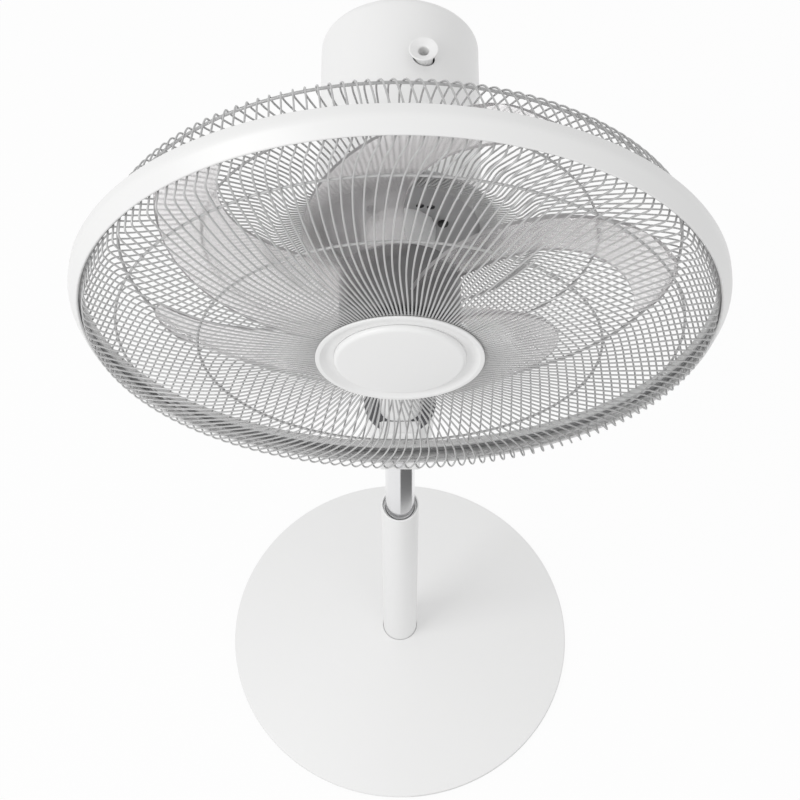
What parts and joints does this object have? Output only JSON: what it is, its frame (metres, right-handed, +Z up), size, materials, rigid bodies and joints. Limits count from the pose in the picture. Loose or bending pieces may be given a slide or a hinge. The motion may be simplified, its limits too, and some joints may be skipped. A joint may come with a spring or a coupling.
{
  "type": "pedestal fan",
  "caption": "Pedestal fan with a round weighted base, telescopic pole, control pod on a slim neck, and a wire-caged swept-blade head that tilts and swings.",
  "frame": {"origin": "on the floor under the pole's axis, at the middle of the round base", "axes": "+Z up along the pole; the fan blows towards -Y, so -Y is the front and +X is the viewer's right"},
  "size_m": [0.45, 0.38, 1.1865],
  "materials": {
    "white_plastic": "satin",
    "white_paint": "satin",
    "button_plastic": "satin",
    "dark_plastic": "matte",
    "grey_plastic": "satin",
    "frosted_plastic": "translucent satin",
    "chrome": "polished",
    "zinc_steel": "zinc plated",
    "aluminium": "cast",
    "cast_iron": "raw",
    "coated_wire": "silver grey satin",
    "rubber": "matte",
    "circuit_board": "matte"
  },
  "bodies": {
    "base": {"base_cover": "white_plastic", "base_plate": "zinc_steel", "base_weight": "cast_iron", "tube_flange": "zinc_steel", "base_bolt": "zinc_steel", "foot_1": "rubber", "foot_2": "rubber", "foot_3": "rubber", "foot_4": "rubber", "foot_5": "rubber", "outer_tube": "white_paint", "tube_plug": "zinc_steel", "guide_bush": "white_plastic"},
    "column": {"inner_tube": "chrome", "tube_shoe": "dark_plastic", "pod_front": "white_plastic", "pod_back": "white_plastic", "pod_lid": "dark_plastic", "control_panel": "white_plastic", "control_board": "circuit_board", "cord_gland": "rubber", "neck_column": "white_plastic", "tilt_pin": "zinc_steel", "tilt_washer_left": "zinc_steel", "tilt_washer_right": "zinc_steel", "pin_cap_left": "white_plastic", "pin_cap_right": "white_plastic"},
    "tilt": {"tilt_bracket": "zinc_steel"},
    "head": {"swing_sleeve": "zinc_steel", "swing_shroud": "white_plastic", "motor_end_front": "aluminium", "motor_stator": "cast_iron", "motor_end_rear": "aluminium", "gearbox": "dark_plastic", "run_capacitor": "dark_plastic", "motor_housing": "white_plastic", "housing_front_cover": "white_plastic", "housing_screw": "zinc_steel", "grille_mount_plate": "grey_plastic", "plate_screw_1": "zinc_steel", "plate_screw_2": "zinc_steel", "plate_screw_3": "zinc_steel", "grille_lock_nut": "grey_plastic", "rear_grille": "coated_wire", "front_grille": "coated_wire", "guard_band": "white_plastic", "guard_inner_ring": "white_plastic", "cap_back_plate": "dark_plastic", "centre_cap": "white_plastic", "cap_disc": "white_plastic"},
    "rotor": {"motor_shaft": "zinc_steel", "motor_rotor": "cast_iron", "fan_blades": "frosted_plastic", "blade_nut": "grey_plastic"},
    "knob": {"swing_knob": "white_plastic"},
    "crank": {"swing_crank": "zinc_steel"},
    "power_key": {"power_button": "button_plastic"},
    "speed_key": {"speed_button": "button_plastic"},
    "swing_key": {"swing_button": "button_plastic"},
    "timer_key": {"timer_button": "button_plastic"}
  },
  "joints": [
    {"name": "height_slide", "type": "slide", "parent": "base", "child": "column", "axis": [0, 0, 1], "range_m": [-0.12, 0.08]},
    {"name": "head_tilt", "type": "hinge", "parent": "column", "child": "tilt", "pos_m": [0, 0, 0.868], "axis": [-1, 0, 0], "range_deg": [-15, 20]},
    {"name": "head_swing", "type": "hinge", "parent": "tilt", "child": "head", "pos_m": [0, 0, 0.888], "axis": [0, 0, 1], "range_deg": [-40, 40]},
    {"name": "fan_spin", "type": "hinge", "parent": "head", "child": "rotor", "pos_m": [0, 0, 0.9615], "axis": [0, 1, 0], "continuous": true},
    {"name": "knob_push", "type": "slide", "parent": "head", "child": "knob", "axis": [0, 0, -1], "range_m": [0, 0.004]},
    {"name": "crank_turn", "type": "hinge", "parent": "head", "child": "crank", "pos_m": [0, 0.0454, 0.939], "axis": [0, 0, 1], "range_deg": [-90, 90]},
    {"name": "power_press", "type": "slide", "parent": "column", "child": "power_key", "axis": [0, 1, 0], "range_m": [0, 0.0015], "stiffness_N_per_m": 400, "springref_m": -0.001},
    {"name": "speed_press", "type": "slide", "parent": "column", "child": "speed_key", "axis": [0, 1, 0], "range_m": [0, 0.0015], "stiffness_N_per_m": 400, "springref_m": -0.001},
    {"name": "swing_press", "type": "slide", "parent": "column", "child": "swing_key", "axis": [0, 1, 0], "range_m": [0, 0.0015], "stiffness_N_per_m": 400, "springref_m": -0.001},
    {"name": "timer_press", "type": "slide", "parent": "column", "child": "timer_key", "axis": [0, 1, 0], "range_m": [0, 0.0015], "stiffness_N_per_m": 400, "springref_m": -0.001}
  ],
  "couplings": [
    {"joint": "crank_turn", "follows": "head_swing", "ratio": 2.25}
  ]
}
